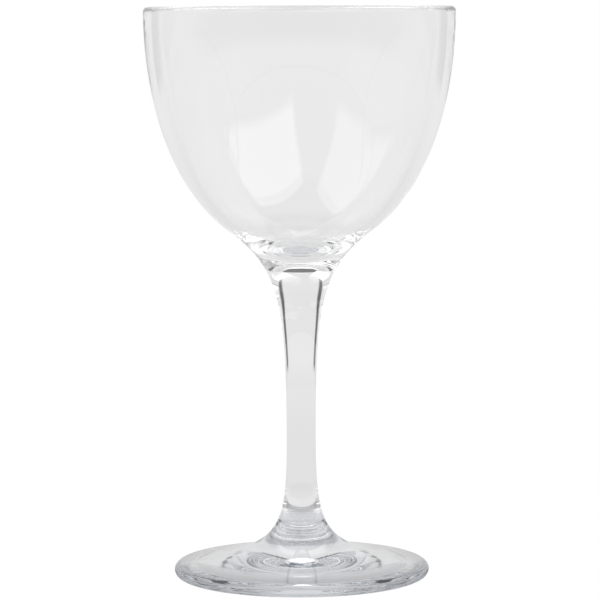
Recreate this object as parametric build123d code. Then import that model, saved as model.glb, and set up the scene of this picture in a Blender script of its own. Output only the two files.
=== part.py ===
from build123d import *
import os
from math import cos, radians, sin, tan

# A stemmed cocktail glass of the nick and nora kind, made of three gathers of glass
# that are fused together hot: the blown bowl, the drawn stem and the pressed foot.
# Millimetres. The origin is the centre of the foot on the table, and +Z is the axis.

# Heights, stacked from the table to the rim
waist_height = 36.0         # table to the thinnest place of the stem
neck_rise = 53.2            # waist to the ring where the neck turns into the bowl
bowl_height = 56.8          # that ring to the top of the rim
hub_height = 15.0           # table to the seam between foot and stem
floor_thickness = 4.8       # inside bottom of the bowl to the seam between bowl and stem

# Diameters
rim_diameter = 79.4         # outside of the bowl at the rim
neck_diameter = 37.1        # outside at the ring where the neck turns into the bowl
waist_diameter = 7.48       # thinnest place of the stem
foot_diameter = 65.5        # over the rounded edge of the foot
floor_diameter = 14.0       # where the inside walls, run on straight, meet the bottom

# Walls and edges
rim_wall = 2.4              # bowl wall at the rim, which is rounded over its whole width
neck_wall = 2.6             # bowl wall at the neck ring, square to the wall
foot_edge_radius = 1.7      # round edge of the foot, half as much as the foot is thick there
rest_width = 3.5            # flat ring under the foot that stands on the table
hollow_depth = 2.6          # shallow hollow inside that ring

# Slopes, in degrees
neck_lean = 53.3            # outside of the neck ring, from the vertical
rim_taper = 5.0             # inside of the rim, from the vertical: the wall thickens downwards
foot_slope = 8.0            # top of the foot near its edge, from the horizontal

# How far each curve runs towards the corner of its two end tangents, as a share of the way
bowl_pull = (0.928, 0.238)  # from the neck ring, from the rim
neck_pull = (0.836, 0.882)  # from the waist, from the neck ring
foot_pull = (0.935, 0.885)  # from the edge of the foot, from the waist
floor_pull = (0.60, 0.80)   # from the wall, from the middle of the bottom
hollow_pull = (0.67, 0.67)  # from the middle of the hollow, from the resting ring


def at(radius, height):
    """A point of the half section, which lies in the XZ plane."""
    return Vector(radius, 0, height)


def bend(start, corner, end, pulls):
    """A curve from start to end whose two end tangents meet at the corner."""
    start_pull, end_pull = pulls
    start_handle = start + (corner - start) * start_pull
    end_handle = end + (corner - end) * end_pull
    return Bezier(start, start_handle, end_handle, end)


# Radii and heights that follow from the sizes above
rim_radius = rim_diameter / 2
neck_radius = neck_diameter / 2
waist_radius = waist_diameter / 2
foot_radius = foot_diameter / 2
floor_radius = floor_diameter / 2
neck_height = waist_height + neck_rise
glass_height = neck_height + bowl_height
lean = radians(neck_lean)
taper = radians(rim_taper)
slope = radians(foot_slope)

# Foot: resting ring, rounded edge and the top that sweeps up to the waist of the stem
edge_centre = foot_radius - foot_edge_radius
rest_inner = edge_centre - rest_width
crest = at(edge_centre + foot_edge_radius * sin(slope), foot_edge_radius * (1 + cos(slope)))
waist = at(waist_radius, waist_height)
foot_corner = at(waist_radius, crest.Z + (crest.X - waist_radius) * tan(slope))
rest_ring = Line(at(rest_inner, 0), at(edge_centre, 0))
foot_edge = ThreePointArc(at(edge_centre, 0), at(foot_radius, foot_edge_radius), crest)
foot_top = bend(crest, foot_corner, waist, foot_pull)

# Neck: from the waist out to the ring where the bowl begins
neck_ring = at(neck_radius, neck_height)
neck_corner = at(waist_radius, neck_height - (neck_radius - waist_radius) / tan(lean))
neck_side = bend(waist, neck_corner, neck_ring, neck_pull)

# Bowl: outside wall from the neck ring up to the rim
rim_round = rim_wall / 2
rim_centre = at(rim_radius - rim_round, glass_height - rim_round)
outer_spring = at(rim_radius, rim_centre.Z)
outer_corner = at(rim_radius, neck_height + (rim_radius - neck_radius) / tan(lean))
bowl_outside = bend(neck_ring, outer_corner, outer_spring, bowl_pull)

# Bowl: rounded rim, then the inside wall, whose end tangents meet at the inner corner
inner_spring = rim_centre + at(-rim_round * cos(taper), rim_round * sin(taper))
inner_ring = neck_ring + at(-neck_wall * cos(lean), neck_wall * sin(lean))
span = inner_spring - inner_ring
corner_way = (span.X * cos(taper) - span.Z * sin(taper)) / sin(lean - taper)
inner_corner = inner_ring + at(corner_way * sin(lean), corner_way * cos(lean))
rim_edge = ThreePointArc(outer_spring, rim_centre + at(0, rim_round), inner_spring)
bowl_inside = bend(inner_ring, inner_corner, inner_spring, bowl_pull)

# Bowl: round bottom inside
floor_height = inner_ring.Z - (inner_ring.X - floor_radius) / tan(lean)
bowl_floor = bend(inner_ring, at(floor_radius, floor_height), at(0, floor_height), floor_pull)

# Hollow under the foot, and the axis between it and the bottom of the bowl
hollow = bend(at(0, hollow_depth), at(rest_inner / 2, hollow_depth), at(rest_inner, 0), hollow_pull)
core = Line(at(0, hollow_depth), at(0, floor_height))

# The half section is cut at the two seams, and each stretch is turned about the axis
section = make_face(
    [rest_ring, foot_edge, foot_top, neck_side, bowl_outside, rim_edge, bowl_inside, bowl_floor, core, hollow]
)
foot_seam = Plane.XY.offset(hub_height)
bowl_seam = Plane.XY.offset(floor_height - floor_thickness)
above_foot = split(section, bisect_by=foot_seam, keep=Keep.TOP)
pieces = {
    "foot": split(section, bisect_by=foot_seam, keep=Keep.BOTTOM),
    "stem": split(above_foot, bisect_by=bowl_seam, keep=Keep.BOTTOM),
    "bowl": split(above_foot, bisect_by=bowl_seam, keep=Keep.TOP),
}

os.makedirs("parts", exist_ok=True)
for name, half_section in pieces.items():
    piece = revolve(half_section, axis=Axis.Z)
    export_step(piece, f"parts/{name}.step")
    print(name, "volume", round(piece.volume), "mm3, height", round(piece.bounding_box().size.Z, 2), "mm")
print("glass height", glass_height, "inside bottom at", round(floor_height, 2))
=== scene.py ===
# %% [markdown]
# # A nick and nora glass
#
# The glass is three gathers of clear glass, fused while hot: a blown bowl, a drawn stem and a
# pressed foot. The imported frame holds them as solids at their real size. Here each gather gets a
# smooth turned mesh of that size and a glass that bends light, and a white studio stands round it.

# %% Load the frame and keep its box
from math import cos, degrees, exp, pi, radians, sin, tan

import bmesh
import bpy
from mathutils import Matrix, Vector, noise
from mathutils.geometry import interpolate_bezier, intersect_line_line


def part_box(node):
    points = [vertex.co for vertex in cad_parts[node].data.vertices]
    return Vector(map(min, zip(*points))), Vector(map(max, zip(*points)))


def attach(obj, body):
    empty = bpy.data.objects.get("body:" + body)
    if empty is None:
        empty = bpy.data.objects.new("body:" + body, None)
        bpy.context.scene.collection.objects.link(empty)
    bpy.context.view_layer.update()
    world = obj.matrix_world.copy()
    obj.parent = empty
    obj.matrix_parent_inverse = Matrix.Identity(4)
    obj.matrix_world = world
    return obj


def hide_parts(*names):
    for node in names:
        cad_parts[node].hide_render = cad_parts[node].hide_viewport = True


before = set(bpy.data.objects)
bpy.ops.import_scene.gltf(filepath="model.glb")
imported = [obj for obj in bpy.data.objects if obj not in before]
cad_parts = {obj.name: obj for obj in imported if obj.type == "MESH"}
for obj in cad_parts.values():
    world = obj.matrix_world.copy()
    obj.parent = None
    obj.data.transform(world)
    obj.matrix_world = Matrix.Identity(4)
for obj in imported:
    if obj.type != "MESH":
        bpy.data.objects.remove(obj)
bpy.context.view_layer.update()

MM = 0.001
scene = bpy.context.scene

# %% [markdown]
# ## Camera
#
# The rim is seen edge on and the foot from above, so the camera stands just over the height of the
# rim, about five and a half glass heights away, and looks down a little. A long lens gives that.
# The photograph leans by a fraction of a degree, and the camera rolls by as much.

# %% Camera at the photograph's angle
CAMERA_BACK = 803 * MM
CAMERA_UP = 152 * MM
CAMERA_ASIDE = -0.16 * MM
CAMERA_DROP = radians(5.75)
CAMERA_ROLL = radians(0.25)
CLIP_START = 10 * MM
SENSOR_WIDTH = 36
IMAGE_SIDE = 600
FOCAL_PIXELS = 3152

lens = bpy.data.cameras.new("camera")
lens.sensor_width = SENSOR_WIDTH
lens.lens = SENSOR_WIDTH * FOCAL_PIXELS / IMAGE_SIDE
lens.clip_start = CLIP_START
camera = bpy.data.objects.new("camera", lens)
scene.collection.objects.link(camera)
camera.matrix_world = (
    Matrix.Translation((CAMERA_ASIDE, -CAMERA_BACK, CAMERA_UP))
    @ Matrix.Rotation(pi / 2 - CAMERA_DROP, 4, "X")
    @ Matrix.Rotation(-CAMERA_ROLL, 4, "Z")
)
scene.camera = camera
print("lens", round(lens.lens, 1), "mm")

# %% [markdown]
# ## Shader sums as Python
#
# A node tree is easier to read as a formula. A small class holds one socket, and its operators add
# Math nodes, so that `1 - mask` works. One method, `node`, adds any other node to the same tree.

# %% A socket that does sums
class Value:
    """One output socket of a node tree, with arithmetic that adds Math nodes."""

    def __init__(self, tree, socket=None):
        self.tree = tree
        self.socket = socket

    def plug(self, value, socket):
        """Links a Value to a socket, or sets a plain number or colour on it."""
        if isinstance(value, Value):
            self.tree.links.new(value.socket, socket)
        else:
            socket.default_value = value

    def node(self, kind, sockets=None, out=0, **settings):
        """Any node: its settings are set first, then its sockets, by name or by place."""
        made = self.tree.nodes.new(kind)
        for name, setting in settings.items():
            setattr(made, name, setting)
        for place, value in (sockets or {}).items():
            self.plug(value, made.inputs[place])
        return Value(self.tree, made.outputs[out] if made.outputs else None)

    def math(self, operation, other=0):
        """One Math node with this value in its first socket."""
        return self.node("ShaderNodeMath", {0: self, 1: other}, operation=operation)

    def __add__(self, other):
        return self.math("ADD", other)

    def __sub__(self, other):
        return self.math("SUBTRACT", other)

    def __mul__(self, other):
        return self.math("MULTIPLY", other)

    def __rsub__(self, other):
        return self.node("ShaderNodeMath", {0: other, 1: self}, operation="SUBTRACT")

    __radd__ = __add__
    __rmul__ = __mul__


print("socket sums ready")

# %% Soft steps and levels
def rise(value, low, high):
    """0 at low and 1 at high, with a smooth step between. It falls where low is above high."""
    sockets = {"Value": value, "From Min": low, "From Max": high}
    return value.node("ShaderNodeMapRange", sockets, interpolation_type="SMOOTHSTEP")


def window(value, low, high, soft):
    """1 between low and high and 0 outside, with edges that fade over soft on each side."""
    return rise(value, low - soft, low + soft) * rise(value, high + soft, high - soft)


def between(mask, low, high):
    """The level low where the mask is 0, and high where it is 1."""
    return low + mask * (high - low)


print("soft steps ready")

# %% Places, angles and what a ray has met
TO_DEGREES = degrees(1)


def parts(vector, axes):
    """The named parts of a vector, such as its X and Y."""
    return [vector.node("ShaderNodeSeparateXYZ", {"Vector": vector}, axis) for axis in axes]


def from_behind(x, y):
    """The angle round the glass from straight behind it, in degrees, the same to both sides."""
    return x.math("ARCTAN2", y).math("ABSOLUTE") * TO_DEGREES


def ray(tree, fact):
    """What the Light Path node says of a ray, such as whether it comes from the camera."""
    return tree.node("ShaderNodeLightPath", out=fact)


print("places, angles and rays ready")

# %% [markdown]
# ## Studio
#
# Clear glass shows what stands round it, and lamps alone would leave it invisible. So the studio is
# made of large plain surfaces: a white backdrop behind, brighter white cards at the sides, a dark
# gap between backdrop and card on each side, a dark room low in front, and a dark ceiling with a
# lamp over the back. The gaps draw the dark lines in the stem, and the ceiling the slot in the neck.
#
# The wall of the bowl would mirror the same gaps as grey stripes, and the real bowl is clean. Light
# that crosses the solid stem, neck or foot meets two or three surfaces, and light through both walls
# of the bowl meets four or more. So gaps and ceiling are dark only to light of few crossings.
#
# The world could be a picture of a studio. Formulas of the direction are shorter, and need no file.
# Rays from the camera itself get plain white, which is the background of the photograph.

# %% Directions round the glass
world = bpy.data.worlds.new("studio")
scene.world = world
world.use_nodes = True
world.node_tree.nodes.clear()
sky = Value(world.node_tree)
sky_x, sky_y, sky_z = parts(sky.node("ShaderNodeTexCoord", out="Generated"), "XYZ")
sky_angle = from_behind(sky_x, sky_y)
lift = sky_z.math("ARCSINE") * TO_DEGREES
print("world", world.name, "by angle from behind and lift from level, in degrees")

# %% White backdrop and cards
# Each pair of angles is where a soft edge starts and ends, in degrees from straight behind.
WHITE = 0.78
WHITE_HIGHER = 0.74
BACK_GLOW = 0.05
CARD_GLOW = 0.15
LEFT_GLOW = 0.06
FRONT_SHADE = 0.6
FRONT_FROM = (80, 110)

higher = rise(lift, 2, 16)
upper_back = rise(lift, 6, 20) * rise(sky_angle, 40, 25)
low_front = rise(lift, 5, 1) * rise(sky_angle, *FRONT_FROM)
on_card = rise(lift, 0, 8) * window(sky_angle, 65, 140, 12)
on_left = rise(sky_x, 0.3, -0.3)
white_level = between(higher, WHITE, WHITE_HIGHER) + upper_back * BACK_GLOW
white_level = white_level - low_front * FRONT_SHADE + on_card * (CARD_GLOW + on_left * LEFT_GLOW)
print("white of", WHITE, "to", round(WHITE_HIGHER + CARD_GLOW + LEFT_GLOW, 2))

# %% Dark gaps at both sides
DARK_GAP = 0.05
BACKDROP_ENDS = (30, 36)
CARD_BEGINS = (43, 51)
LOW_GAP_SHIFT = 8
SOLID_CROSSINGS = 3


def in_gap(angle):
    """1 in the gap on each side and 0 on backdrop and cards, by the angle from behind."""
    return rise(angle, *BACKDROP_ENDS) - rise(angle, *CARD_BEGINS)


def through_bowl(tree):
    """1 for light that has crossed more surfaces than a solid piece has, and 0 for other light."""
    return ray(tree, "Transmission Depth").math("GREATER_THAN", SOLID_CROSSINGS)


through_solid = 1 - through_bowl(sky)
gap_angle = sky_angle - rise(lift, 14, 1) * LOW_GAP_SHIFT
wall_level = between(through_solid * in_gap(gap_angle), white_level, DARK_GAP)
print("gaps of", DARK_GAP, "from", BACKDROP_ENDS[0], "to", CARD_BEGINS[1], "degrees")

# %% Ceiling, lamp and the whole room
CEILING = 0.17
BACK_LAMP = 2.6

on_lamp = rise(sky_y, 0.33, 0.40)
ceiling_level = between(on_lamp, between(through_solid, WHITE, CEILING), BACK_LAMP)
on_wall = rise(lift, 61, 49)
room_level = between(on_wall, ceiling_level, wall_level)
sky_level = between(ray(sky, "Is Camera Ray"), room_level, 1)
backdrop = sky.node("ShaderNodeBackground", {"Color": sky_level})
sky.node("ShaderNodeOutputWorld", {"Surface": backdrop})
print("ceiling of", CEILING, "with a lamp of", BACK_LAMP)

# %% [markdown]
# ## Softboxes
#
# Two softboxes stand in front of the glass, high at the left and right. They are what shines back
# from the inside of the bowl as two pale patches, and as the white glints in the neck. An area lamp
# would show a hard border in glass, so each is a panel whose glow fades into the room at its edge.

# %% The glow of a panel
SOFT_BORDER = 0.045


def panel_glow(name, level):
    """An even glow that falls to the level of the room over a narrow border."""
    glow = bpy.data.materials.new(name)
    glow.use_nodes = True
    glow.node_tree.nodes.clear()
    cloth = Value(glow.node_tree)
    ways = parts(cloth.node("ShaderNodeTexCoord", out="UV"), "XY")
    across, upward = (window(way, SOFT_BORDER, 1 - SOFT_BORDER, SOFT_BORDER) for way in ways)
    cloth_level = between(across * upward, WHITE_HIGHER, level)
    shine = cloth.node("ShaderNodeEmission", {"Color": cloth_level})
    cloth.node("ShaderNodeOutputMaterial", {"Surface": shine})
    return glow


print("border of", SOFT_BORDER, "of the panel's side")

# %% A panel
def as_object(name, shape, *materials):
    """A finished shape as an object of the scene, at the origin."""
    mesh = bpy.data.meshes.new(name)
    shape.to_mesh(mesh)
    shape.free()
    for material in materials:
        mesh.materials.append(material)
    made = bpy.data.objects.new(name, mesh)
    scene.collection.objects.link(made)
    return made


def panel(name, corner, across, upward, level):
    """A softbox that the glass sees and the camera doesn't: one corner and two edges from it."""
    across, upward = Vector(across), Vector(upward)
    place = Matrix((across, upward, across.cross(upward).normalized())).transposed().to_4x4()
    place.translation = Vector(corner) + across / 2 + upward / 2
    shape = bmesh.new()
    shape.loops.layers.uv.new("UVMap")
    # Half a side is 0.5, so the grid is a unit square, which the matrix stretches to the edges.
    bmesh.ops.create_grid(shape, x_segments=1, y_segments=1, size=0.5, matrix=place, calc_uvs=True)
    board = as_object(name, shape, panel_glow(name, level))
    board.visible_camera = False
    print(name, "level", level)


# %% The two softboxes
panel(
    "right_softbox",
    corner=(0.064, -0.683, 0.430),
    across=(0.54, 0.66, -0.09),
    upward=(-0.137, 0.145, 0.575),
    level=1.95,
)
panel(
    "left_softbox",
    corner=(-0.419, -0.580, 0.420),
    across=(-0.178, 0.882, -0.12),
    upward=(0.093, 0.008, 0.95),
    level=1.65,
)

# %% [markdown]
# ## Table
#
# The glass stands on white paper. Light that comes through the glass is spent twice, so the paper
# under the foot is greyer and a little bluer than the paper round it, and that grey is what the
# foot shows. A path tracer can't find that caustic shade in a short time, so it is painted shade on
# the paper: a level that depends on the distance from the axis, with painted caustic light under
# the stem and a painted ring of light just outside the shade.
#
# Further out the paper carries painted shade, as the room above it would cast it: dark below the
# gaps and in front. Its far corners get painted shade for the bowl alone, which shows them as the
# soft dark corners inside the rim.
# The camera sees the paper nearly white, and a dull coat on top takes the soft shadow.

# %% Places on the paper
def distance(x, y):
    """How far a place lies from the axis."""
    return (x * x + y * y).math("SQRT")


paper = bpy.data.materials.new("white_paper")
paper.use_nodes = True
paper.node_tree.nodes.clear()
sheet = Value(paper.node_tree)
paper_x, paper_y = parts(sheet.node("ShaderNodeTexCoord", out="Object"), "XY")
away = distance(paper_x, paper_y)
paper_angle = from_behind(paper_x, paper_y)
print("material", paper.name, "by distance from the axis and angle from behind")

# %% Painted shade on the paper under the foot
UNDER_FOOT = 0.36
UNDER_STEM = 0.62
PAST_FOOT = 0.70
FOOT_GLINT = 0.05
SHADE_SQUEEZE = 0.75

# Painted shade under the foot, wider to the sides than it is deep, with painted caustic light under
# the stem and a painted ring of light, the glint, just outside the shade.
shade_away = distance(paper_x * SHADE_SQUEEZE, paper_y)
under_stem = rise(away, 27 * MM, 14 * MM)
out_of_shade = rise(shade_away, 29 * MM, 38 * MM)
in_glint = window(shade_away, 38 * MM, 55 * MM, 8 * MM)
in_open = rise(away, 0.15, 0.7)
lit_level = between(under_stem, UNDER_FOOT, UNDER_STEM) + out_of_shade * (PAST_FOOT - UNDER_FOOT)
lit_level = lit_level + in_glint * FOOT_GLINT + in_open * (WHITE - PAST_FOOT)
print("paper", UNDER_FOOT, "under the foot and", WHITE, "in the open")

# %% Painted shade on the paper further out
CORNER_SHADE = 0.36
SHADE_BELOW_GAPS = 0.12

# Painted shade: the far corners darker for light through the bowl, the paper darker in front, and
# darkest below the gaps for light through the solid pieces.
for_bowl = through_bowl(sheet)
in_corner = rise(away, 1.5, 2.5) * window(paper_angle, 14, 60, 6)
in_front = rise(away, 0.5, 1.6) * rise(paper_angle, *FRONT_FROM)
at_side = rise(away, 0.65, 1.0) * in_gap(paper_angle - LOW_GAP_SHIFT)
lit_level = lit_level - for_bowl * in_corner * CORNER_SHADE - in_front * FRONT_SHADE
paper_level = between((1 - for_bowl) * at_side, lit_level, SHADE_BELOW_GAPS)
print("sides of", SHADE_BELOW_GAPS, "below the gaps")

# %% White paper with a dull coat
PAPER_GLOW = 0.965
PAPER_COAT = (0.06, 0.06, 0.06, 1)
PAPER_WHITE = (1, 1, 1, 1)
PAPER_SHADE = (0.95, 0.955, 1.0, 1)

by_camera = ray(sheet, "Is Camera Ray")
by_glass = ray(sheet, "Is Transmission Ray").math("MAXIMUM", ray(sheet, "Is Glossy Ray"))
# The glass sees the paper glow at its level of painted shade, with a painted blue tint in the shade
# under the foot; the camera sees the paper glow nearly white.
tones = {"Factor": out_of_shade.math("MAXIMUM", by_camera), 6: PAPER_SHADE, 7: PAPER_WHITE}
paper_tone = sheet.node("ShaderNodeMix", tones, 2, data_type="RGBA")
seen_level = by_camera * PAPER_GLOW + by_glass * paper_level
seen_tone = sheet.node("ShaderNodeVectorMath", {0: paper_tone, "Scale": seen_level}, operation="SCALE")
glow = sheet.node("ShaderNodeEmission", {"Color": seen_tone})
coat = sheet.node("ShaderNodeBsdfDiffuse", {"Color": PAPER_COAT})
coated = sheet.node("ShaderNodeAddShader", {0: glow, 1: coat})
sheet.node("ShaderNodeOutputMaterial", {"Surface": coated})
print("paper glows", PAPER_GLOW, "to the camera")

# %% The table
TABLE_REACH = 30.0
TABLE_DROP = 0.02 * MM

shape = bmesh.new()
below = Matrix.Translation((0, 0, -TABLE_DROP))
bmesh.ops.create_grid(shape, x_segments=1, y_segments=1, size=TABLE_REACH, matrix=below)
table = as_object("table", shape, paper)
print("table", 2 * TABLE_REACH, "m wide")

# %% [markdown]
# ## Glass
#
# Tableware glass is clear, with a breath of blue where light runs a long way through it. A thin
# transparent shell would be quicker, but the lens of the neck and the rings in the foot only come
# from a solid that refracts. So the glass is a Principled material that transmits all light, with a
# little absorption inside. The foot looks greyer than the rest, and has a denser glass of its own.
# Hot glass is never quite even: a faint wave in the surface, far too low to measure, makes the
# reflections waver. The foot is rubbed dull where it slides on tables.
#
# Where two gathers are fused there is no surface at all. The two pieces still end in flat faces
# there, and those get a glass of index 1, which lets light pass straight on.

# %% A solid glass
def glass(name, index, tint, density):
    """A solid glass with its absorption: the material, its shader and its tree as a Value."""
    made = bpy.data.materials.new(name)
    made.use_nodes = True
    body = made.node_tree.nodes["Principled BSDF"]
    body.inputs["Base Color"].default_value = (1, 1, 1, 1)
    body.inputs["Roughness"].default_value = 0
    body.inputs["IOR"].default_value = index
    body.inputs["Transmission Weight"].default_value = 1
    tree = Value(made.node_tree)
    inside = tree.node("ShaderNodeVolumeAbsorption", {"Color": tint, "Density": density})
    tree.plug(inside, made.node_tree.nodes["Material Output"].inputs["Volume"])
    print(name, "index", index, "density", density)
    return made, body, tree


# %% Clear glass, foot glass and the glass at a seam
GLASS_INDEX = 1.5
WAVE_HEIGHT = 0.03 * MM
WAVES_PER_METRE = 70.0
RUBS_PER_METRE = 900.0
RUBBED = 0.14
RUBBED_UP_TO = 0.2 * MM
RUBBED_FULLY = 0.02 * MM


def worked_glass(name, tint, density):
    """Glass with the faint wave of hot work, and rubbed where it stands on the table."""
    made, body, tree = glass(name, GLASS_INDEX, tint, density)
    place = tree.node("ShaderNodeTexCoord", out="Object")
    wave = tree.node("ShaderNodeTexNoise", {"Vector": place, "Scale": WAVES_PER_METRE, "Detail": 1})
    bump = tree.node("ShaderNodeBump", {"Height": wave, "Distance": WAVE_HEIGHT})
    tree.plug(bump, body.inputs["Normal"])
    rubs = tree.node("ShaderNodeTexNoise", {"Vector": place, "Scale": RUBS_PER_METRE, "Detail": 3})
    (height,) = parts(place, "Z")
    rubbed = rise(height, RUBBED_UP_TO, RUBBED_FULLY) * rubs * RUBBED
    tree.plug(rubbed, body.inputs["Roughness"])
    return made


clear_glass = worked_glass("clear_glass", tint=(0.94, 0.97, 1.0, 1), density=0.5)
foot_glass = worked_glass("foot_glass", tint=(0.78, 0.80, 0.83, 1), density=16.0)
seam_glass = glass("seam_glass", index=1.0, tint=(1, 1, 1, 1), density=0.0)[0]

# %% [markdown]
# ## Half section
#
# Every gather is round, so one half section describes the whole glass: a line in the XZ plane that
# is turned about the Z axis. It could be drawn by hand in Edit Mode. As curves between a few
# measured points it stays smooth at any number of steps, and its rim, edge and seams come from the
# frame. The section is in millimetres, and becomes metres when it is turned.

# %% Points and curves of the section
def at(radius, height):
    """A point of the half section, in millimetres."""
    return Vector((radius, 0, height))


def bend(start, corner, end, pulls, steps):
    """A curve from start to end whose two end tangents meet at the corner."""
    start_handle = start + (corner - start) * pulls[0]
    end_handle = end + (corner - end) * pulls[1]
    return interpolate_bezier(start, start_handle, end_handle, end, steps + 1)


def arc(centre, radius, first, last, steps):
    """A round edge, from one angle to another."""
    angles = [first + (last - first) * i / steps for i in range(steps + 1)]
    return [centre + at(radius * cos(a), radius * sin(a)) for a in angles]


bowl_low, bowl_high = (Vector(corner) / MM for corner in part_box("bowl"))
foot_high = Vector(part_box("foot")[1]) / MM
print("rim", round(bowl_high.x, 2), "at", round(bowl_high.z, 2), "mm")
print("seams at", round(foot_high.z, 2), "and", round(bowl_low.z, 2), "mm")

# %% Outside of foot, stem and neck
WAIST = at(3.74, 36.0)
NECK_RING = at(18.55, 89.2)
NECK_LEAN = radians(53.3)
NECK_PULL = (0.836, 0.882)
FOOT_SLOPE = radians(8)
FOOT_EDGE = 1.7
FOOT_PULL = (0.935, 0.885)

edge_centre = at(foot_high.x - FOOT_EDGE, FOOT_EDGE)
foot_edge = arc(edge_centre, FOOT_EDGE, first=-pi / 2, last=pi / 2 - FOOT_SLOPE, steps=24)
crest = foot_edge[-1]
foot_corner = at(WAIST.x, crest.z + (crest.x - WAIST.x) * tan(FOOT_SLOPE))
neck_corner = at(WAIST.x, NECK_RING.z - (NECK_RING.x - WAIST.x) / tan(NECK_LEAN))
foot_top = bend(crest, foot_corner, WAIST, FOOT_PULL, steps=240)
neck_side = bend(WAIST, neck_corner, NECK_RING, NECK_PULL, steps=120)
print("foot top", len(foot_top), "points, neck", len(neck_side), "points")

# %% Outside of the bowl and the rim
RIM_WALL = 2.4
RIM_TAPER = radians(5)
BOWL_PULL = (0.928, 0.238)

rim_centre = at(bowl_high.x - RIM_WALL / 2, bowl_high.z - RIM_WALL / 2)
outer_corner = at(bowl_high.x, NECK_RING.z + (bowl_high.x - NECK_RING.x) / tan(NECK_LEAN))
bowl_outside = bend(NECK_RING, outer_corner, at(bowl_high.x, rim_centre.z), BOWL_PULL, steps=80)
rim_edge = arc(rim_centre, RIM_WALL / 2, first=0, last=pi - RIM_TAPER, steps=24)
print("rim", RIM_WALL, "mm thick")

# %% Inside of the bowl
NECK_WALL = 2.6
FLOOR_RADIUS = 7.0
FLOOR_PULL = (0.60, 0.80)

inner_ring = NECK_RING + at(-NECK_WALL * cos(NECK_LEAN), NECK_WALL * sin(NECK_LEAN))
wall_line = inner_ring, inner_ring + at(sin(NECK_LEAN), cos(NECK_LEAN))
rim_line = rim_edge[-1], rim_edge[-1] - at(sin(RIM_TAPER), cos(RIM_TAPER))
inner_corner = intersect_line_line(*wall_line, *rim_line)[0]
bowl_inside = bend(inner_ring, inner_corner, rim_edge[-1], BOWL_PULL, steps=80)
floor_height = inner_ring.z - (inner_ring.x - FLOOR_RADIUS) / tan(NECK_LEAN)
floor_corner = at(FLOOR_RADIUS, floor_height)
bowl_floor = bend(inner_ring, floor_corner, at(0, floor_height), FLOOR_PULL, steps=40)
print("inside bottom at", round(floor_height, 2), "mm")

# %% [markdown]
# ## Tool marks
#
# Where the foot is pressed on to the stem, a tool turns against the hot glass and leaves a few fine
# rings above the foot. They are hundredths of a millimetre deep, and still bend light enough to
# show as thin lines, so they are put into the section itself and not into a bump.

# %% Fine rings above the foot
MARK_HEIGHTS = (11.6, 13.0, 14.0, 14.7, 15.6)
MARK_DEPTH = 0.02
MARK_WIDTH = 0.22


def bell(value, middle, width):
    """1 in the middle, falling away on both sides."""
    return exp(-(((value - middle) / width) ** 2))


def marked(point):
    """The point, moved inwards where it lies in one of the rings."""
    depth = sum(MARK_DEPTH * bell(point.z, height, MARK_WIDTH) for height in MARK_HEIGHTS)
    return at(point.x - depth, point.z)


side = [marked(point) for point in foot_top] + neck_side[1:]
print(len(MARK_HEIGHTS), "rings of", MARK_DEPTH, "mm")

# %% [markdown]
# ## Turning a section
#
# The Spin operator sweeps the line round the axis and merges its last step with the first. The ends
# that lie on the axis become poles once doubles are merged. Shading is smooth, with sharp edges only
# where two faces meet at a clear angle: left smooth, such an edge would bend light like a lens.
#
# A turned shape is perfectly round, and hot glass isn't. Round the bottom of the bowl, where it was
# worked most, a little noise moves the surface, and it shows as squiggles at the top of the neck.

# %% Turn a line about the axis
SPIN_STEPS = 128
MERGE_WITHIN = 0.0005 * MM
UPWARD = (0, 0, 1)


def turned(line):
    """The closed shape that a line of the half section sweeps out round the axis."""
    shape = bmesh.new()
    points = [shape.verts.new(point * MM) for point in line]
    edges = [shape.edges.new(pair) for pair in zip(points, points[1:])]
    profile = points + edges
    bmesh.ops.spin(shape, geom=profile, axis=UPWARD, angle=2 * pi, steps=SPIN_STEPS, use_merge=True)
    bmesh.ops.remove_doubles(shape, verts=shape.verts, dist=MERGE_WITHIN)
    bmesh.ops.recalc_face_normals(shape, faces=shape.faces)
    shape.normal_update()
    return shape


print("turning in", SPIN_STEPS, "steps")

# %% Uneven glass where the neck opens
UNEVEN_AT = 87.5
UNEVEN_REACH = 2.5
UNEVEN_GRAIN = 3.0
UNEVEN_DEPTH = 0.06


def make_uneven(shape):
    """Moves the surface in and out by a few hundredths of a millimetre where the neck opens."""
    for vert in shape.verts:
        where = vert.co / MM
        mask = bell(where.z, UNEVEN_AT, UNEVEN_REACH)
        vert.co += vert.normal * (noise.noise(where / UNEVEN_GRAIN) * mask * UNEVEN_DEPTH * MM)


print("neck uneven by up to", UNEVEN_DEPTH, "mm at", UNEVEN_AT, "mm")

# %% A piece for one node
SHARP = radians(30)
SEAM_REACH = 0.02


def at_seam(face, seams):
    """True for a face that lies flat in one of the seams."""
    heights = [vert.co.z / MM for vert in face.verts]
    return any(max(abs(height - seam) for height in heights) < SEAM_REACH for seam in seams)


def glass_piece(node, line, seams, material):
    """The piece for one CAD node: its line turned about the axis, with its two materials."""
    shape = turned(line)
    make_uneven(shape)
    for edge in shape.edges:
        edge.smooth = edge.calc_face_angle(0) < SHARP
    for face in shape.faces:
        face.smooth = True
        face.material_index = int(at_seam(face, seams))
    piece = as_object(node + "_glass", shape, material, seam_glass)
    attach(piece, "root")
    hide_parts(node)
    print(node, len(piece.data.polygons), "faces")


# %% Cut a line at a seam
def split(line, height):
    """A rising line cut at a height: the stretch below and the stretch above."""
    after = next(i for i, point in enumerate(line) if point.z > height)
    low, high = line[after - 1], line[after]
    cut = low.lerp(high, (height - low.z) / (high.z - low.z))
    return line[:after] + [cut], [cut] + line[after:]


lower_seam, upper_seam = foot_high.z, bowl_low.z
print("cut at", round(lower_seam, 2), "and", round(upper_seam, 2), "mm")

# %% [markdown]
# ## Bowl
#
# The bowl is blown: a thin even wall, a rim that the flame has rounded, and a solid bottom that runs
# down into the neck as far as the upper seam. A shell with a Solidify modifier would get the wall,
# but not the solid neck, which works as a lens. So the outside and the inside are one closed line.

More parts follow.
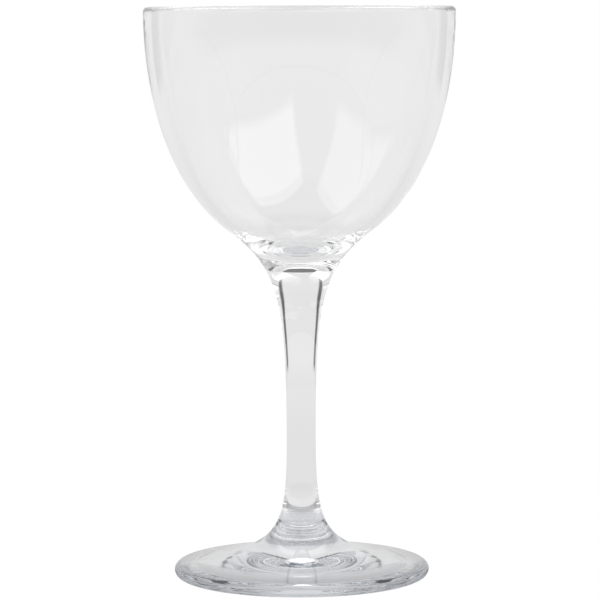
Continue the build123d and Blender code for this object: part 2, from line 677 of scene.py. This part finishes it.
# %% Bowl
outside_up = [at(0, upper_seam)] + split(side, upper_seam)[1] + bowl_outside[1:]
inside_down = list(reversed(bowl_inside)) + bowl_floor[1:]
glass_piece("bowl", outside_up + rim_edge[1:] + inside_down[1:], [upper_seam], clear_glass)

# %% [markdown]
# ## Stem
#
# The stem is drawn out of the bottom of the bowl while it is soft, so it is thinnest near the foot
# and flares towards both ends. It ends a hundredth of a millimetre short of its neighbours, so that
# no two faces lie in the same place, where a ray couldn't tell which it met first.

# %% Stem
SEAM_GAP = 0.01

stem_from = lower_seam + SEAM_GAP
stem_to = upper_seam - SEAM_GAP
stem_side = split(split(side, stem_from)[1], stem_to)[0]
stem_line = [at(0, stem_from)] + stem_side + [at(0, stem_to)]
glass_piece("stem", stem_line, [lower_seam, upper_seam], clear_glass)

# %% [markdown]
# ## Foot
#
# The foot is pressed flat, with a rounded edge, a hub that takes the stem, a flat ring to stand on
# and a shallow hollow inside that ring. The hollow can't be seen from above as a shape, but it acts
# as a lens: the pale ellipse and the arcs in the foot are the table and the room seen through it.

# %% Foot
REST_WIDTH = 3.5
HOLLOW_DEPTH = 2.6
HOLLOW_PULL = (0.67, 0.67)

rest_inner = edge_centre.x - REST_WIDTH
hollow_corner = at(rest_inner / 2, HOLLOW_DEPTH)
hollow = bend(at(rest_inner, 0), hollow_corner, at(0, HOLLOW_DEPTH), HOLLOW_PULL, steps=30)
foot_side = split(side, lower_seam)[0]
foot_outside = list(reversed(foot_side)) + list(reversed(foot_edge))[1:]
glass_piece("foot", [at(0, lower_seam)] + foot_outside + hollow, [lower_seam], foot_glass)

# %% [markdown]
# ## Light paths and finish
#
# Light bounces inside solid glass many times before it leaves, and a path that is cut short is
# black. So the bounces go up until the dark specks are gone.

# %% Bounces and finish
BOUNCES = 128

scene.view_settings.view_transform = "Standard"
scene.cycles.max_bounces = BOUNCES
scene.cycles.transmission_bounces = BOUNCES
scene.cycles.glossy_bounces = BOUNCES
scene.cycles.transparent_max_bounces = 32
